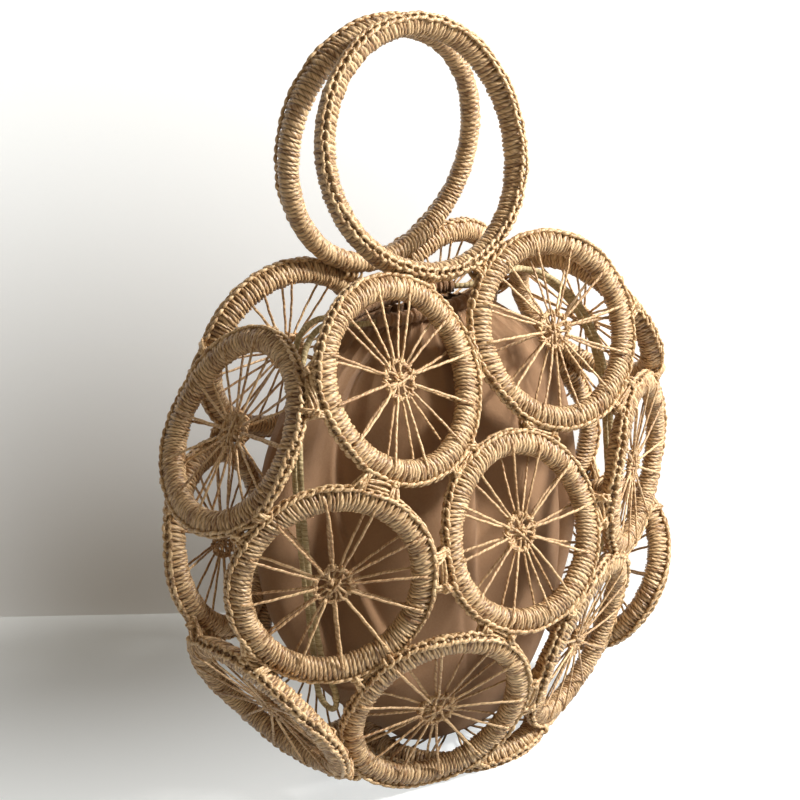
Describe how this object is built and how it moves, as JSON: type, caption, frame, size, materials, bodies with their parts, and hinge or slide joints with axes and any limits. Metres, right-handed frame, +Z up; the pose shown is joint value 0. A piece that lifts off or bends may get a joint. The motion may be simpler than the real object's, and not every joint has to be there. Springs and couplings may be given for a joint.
{
  "type": "paper rope bag",
  "caption": "Handbag of spoked wheels wound with paper rope and laced together, with two ring handles and a drawstring cloth pouch inside.",
  "frame": {"origin": "centre of the footprint, on the surface that the bag stands on", "axes": "+Z up, X along the bag's width, -Y is the front and +Y the back"},
  "size_m": [0.2958, 0.1576, 0.3837],
  "materials": {
    "wound_cord": "tightly wound straw paper cord, satin",
    "spoke_cord": "twisted straw paper cord, satin",
    "pouch_cloth": "matt brown woven cotton",
    "casing_cloth": "matt brown woven cotton, gathered",
    "drawstring_cord": "matt olive braided cord"
  },
  "bodies": {
    "root": {"base_hoop": "wound_cord", "base_spokes": "spoke_cord", "front_center_hoop": "wound_cord", "front_center_spokes": "spoke_cord", "front_upper_left_hoop": "wound_cord", "front_upper_left_spokes": "spoke_cord", "front_upper_right_hoop": "wound_cord", "front_upper_right_spokes": "spoke_cord", "front_middle_left_hoop": "wound_cord", "front_middle_left_spokes": "spoke_cord", "front_middle_right_hoop": "wound_cord", "front_middle_right_spokes": "spoke_cord", "front_lower_left_hoop": "wound_cord", "front_lower_left_spokes": "spoke_cord", "front_lower_right_hoop": "wound_cord", "front_lower_right_spokes": "spoke_cord", "back_center_hoop": "wound_cord", "back_center_spokes": "spoke_cord", "back_upper_left_hoop": "wound_cord", "back_upper_left_spokes": "spoke_cord", "back_upper_right_hoop": "wound_cord", "back_upper_right_spokes": "spoke_cord", "back_middle_left_hoop": "wound_cord", "back_middle_left_spokes": "spoke_cord", "back_middle_right_hoop": "wound_cord", "back_middle_right_spokes": "spoke_cord", "back_lower_left_hoop": "wound_cord", "back_lower_left_spokes": "spoke_cord", "back_lower_right_hoop": "wound_cord", "back_lower_right_spokes": "spoke_cord", "side_upper_left_hoop": "wound_cord", "side_upper_left_spokes": "spoke_cord", "side_upper_right_hoop": "wound_cord", "side_upper_right_spokes": "spoke_cord", "side_lower_left_hoop": "wound_cord", "side_lower_left_spokes": "spoke_cord", "side_lower_right_hoop": "wound_cord", "side_lower_right_spokes": "spoke_cord", "pouch": "pouch_cloth", "front_casing": "casing_cloth", "back_casing": "casing_cloth", "front_drawstring": "drawstring_cord", "back_drawstring": "drawstring_cord", "left_drawstring_loop": "drawstring_cord", "right_drawstring_loop": "drawstring_cord"},
    "front_handle": {"front_handle": "wound_cord"},
    "back_handle": {"back_handle": "wound_cord"}
  },
  "joints": [
    {"name": "front_handle_hinge", "type": "hinge", "parent": "root", "child": "front_handle", "pos_m": [0, -0.03145, 0.25592], "axis": [1, 0, 0], "range_deg": [0, 125]},
    {"name": "back_handle_hinge", "type": "hinge", "parent": "root", "child": "back_handle", "pos_m": [0, 0.03145, 0.25592], "axis": [-1, 0, 0], "range_deg": [0, 125]}
  ]
}
